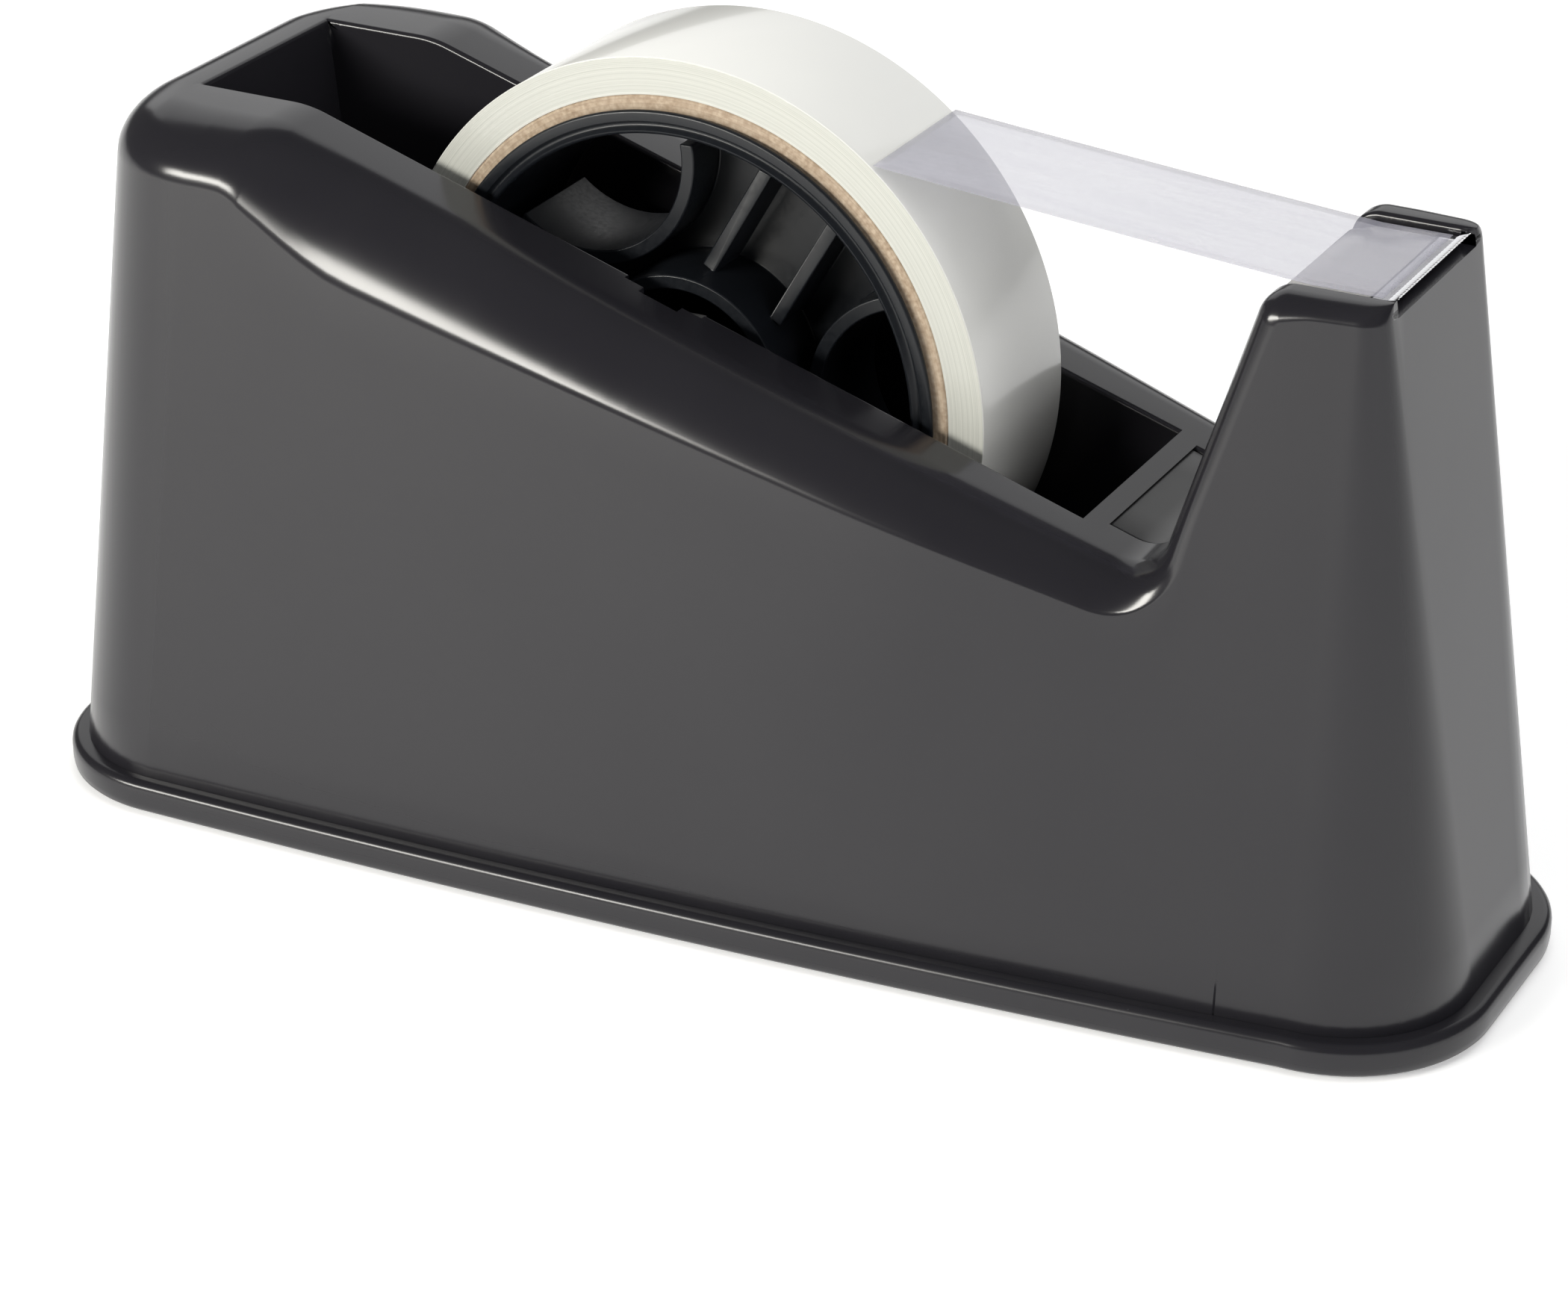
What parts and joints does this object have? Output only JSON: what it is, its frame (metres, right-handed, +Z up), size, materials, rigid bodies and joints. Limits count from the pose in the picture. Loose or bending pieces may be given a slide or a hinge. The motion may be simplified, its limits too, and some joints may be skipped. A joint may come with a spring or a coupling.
{
  "type": "tape dispenser",
  "caption": "Weighted desktop tape dispenser: a roll on a spoked hub drops into an open well, and its film runs to a toothed cutter on a tower.",
  "frame": {"origin": "on the surface the object stands on, under the middle of the base", "axes": "+X from the tail to the cutter along the length, +Z up, +Y to the left when facing along +X"},
  "size_m": [0.22, 0.0884, 0.1192],
  "materials": {
    "body_black": "gloss black moulding",
    "panel_black": "gloss black moulding",
    "plate_metal": "polished plate",
    "blade_metal": "bright toothed strip",
    "base_black": "satin black",
    "ballast": "as cast",
    "screw_steel": "zinc plated",
    "pad": "matt foam rubber",
    "axle_steel": "ground steel",
    "hub_black": "satin black moulding",
    "card": "wound card",
    "tape_roll": "wound clear film",
    "tape_film": "clear film"
  },
  "bodies": {
    "housing": {"body_shell": "body_black", "tower_back_panel": "panel_black", "landing_plate": "plate_metal", "cutter_blade": "blade_metal", "base_tray": "base_black", "ballast_plate": "ballast", "base_screws": "screw_steel", "non_slip_pad": "pad"},
    "axle": {"axle_pin": "axle_steel", "tape_strip": "tape_film"},
    "roll": {"hub_rim": "hub_black", "hub_spider": "hub_black", "tape_core": "card", "tape_winding": "tape_roll"}
  },
  "joints": [
    {"name": "roll_lift", "type": "slide", "parent": "housing", "child": "axle", "axis": [0, 0, 1], "range_m": [0, 0.1]},
    {"name": "roll_spin", "type": "hinge", "parent": "axle", "child": "roll", "pos_m": [-0.01275, 0, 0.0727], "axis": [0, 1, 0], "continuous": true}
  ]
}
